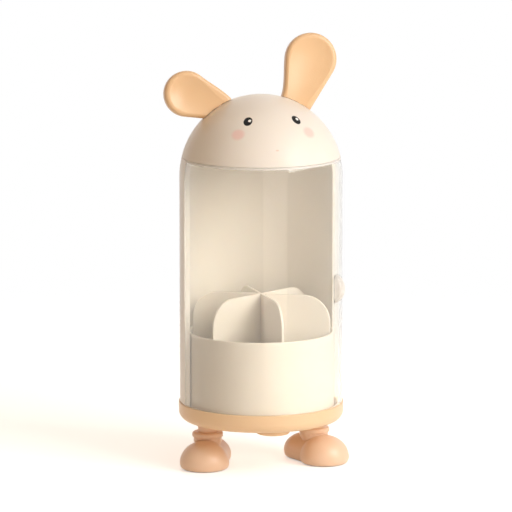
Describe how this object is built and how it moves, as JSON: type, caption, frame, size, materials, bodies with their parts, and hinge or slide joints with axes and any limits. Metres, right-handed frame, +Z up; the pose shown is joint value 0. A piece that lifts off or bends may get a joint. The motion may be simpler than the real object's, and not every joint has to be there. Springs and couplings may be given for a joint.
{
  "type": "rotating makeup brush holder",
  "caption": "Free-standing round brush holder with a turning divided cup behind a clear sliding door, under a domed head with swivelling ears, on short legs with shoes.",
  "frame": {"origin": "midway across the whole object at table level; the cup turns about the upright line 3.7 mm to +X of it", "axes": "+Z up, parallel to the turning axis, -Y to the front, +X to the viewer's right"},
  "size_m": [0.1454, 0.132, 0.3442],
  "materials": {
    "cream_plastic": "glossy moulded plastic",
    "peach_plastic": "satin moulded plastic",
    "clear_plastic": "clear polished plastic",
    "pad_rubber": "soft pale rubber",
    "cage_plastic": "plain white plastic",
    "bearing_steel": "polished steel",
    "screw_steel": "zinc-plated steel",
    "washer_steel": "zinc-plated steel"
  },
  "bodies": {
    "base": {"base_pan": "peach_plastic", "left_leg": "peach_plastic", "right_leg": "peach_plastic", "left_shoe": "peach_plastic", "right_shoe": "peach_plastic", "left_sole_pad": "pad_rubber", "right_sole_pad": "pad_rubber", "leg_screws": "screw_steel", "shoe_screws": "screw_steel", "rear_shell": "cream_plastic", "shell_screws": "screw_steel", "head": "cream_plastic", "head_screws": "screw_steel", "spindle_washer": "washer_steel", "spindle_screw": "screw_steel"},
    "cup": {"brush_cup": "cream_plastic", "divider_star": "cream_plastic"},
    "bearing": {"bearing_cage": "cage_plastic", "bearing_balls": "bearing_steel"},
    "door": {"clear_door": "clear_plastic"},
    "left_ear": {"left_ear": "peach_plastic", "left_ear_washer": "washer_steel", "left_ear_screw": "screw_steel"},
    "right_ear": {"right_ear": "peach_plastic", "right_ear_washer": "washer_steel", "right_ear_screw": "screw_steel"}
  },
  "joints": [
    {"name": "cup_turn", "type": "hinge", "parent": "base", "child": "cup", "pos_m": [0.00367, 0, 0.0466], "axis": [0, 0, 1], "continuous": true},
    {"name": "bearing_turn", "type": "hinge", "parent": "base", "child": "bearing", "pos_m": [0.00367, 0, 0.0423], "axis": [0, 0, 1], "continuous": true},
    {"name": "door_turn", "type": "hinge", "parent": "base", "child": "door", "pos_m": [0.00367, 0, 0.051], "axis": [0, 0, 1], "range_deg": [0, 152]},
    {"name": "left_ear_turn", "type": "hinge", "parent": "base", "child": "left_ear", "pos_m": [0.00367, 0, 0.233], "axis": [-0.5075, 0.1452, 0.8493], "continuous": true},
    {"name": "right_ear_turn", "type": "hinge", "parent": "base", "child": "right_ear", "pos_m": [0.00367, 0, 0.233], "axis": [0.5075, 0.1452, 0.8493], "continuous": true}
  ],
  "couplings": [
    {"joint": "bearing_turn", "follows": "cup_turn", "ratio": 0.5}
  ]
}
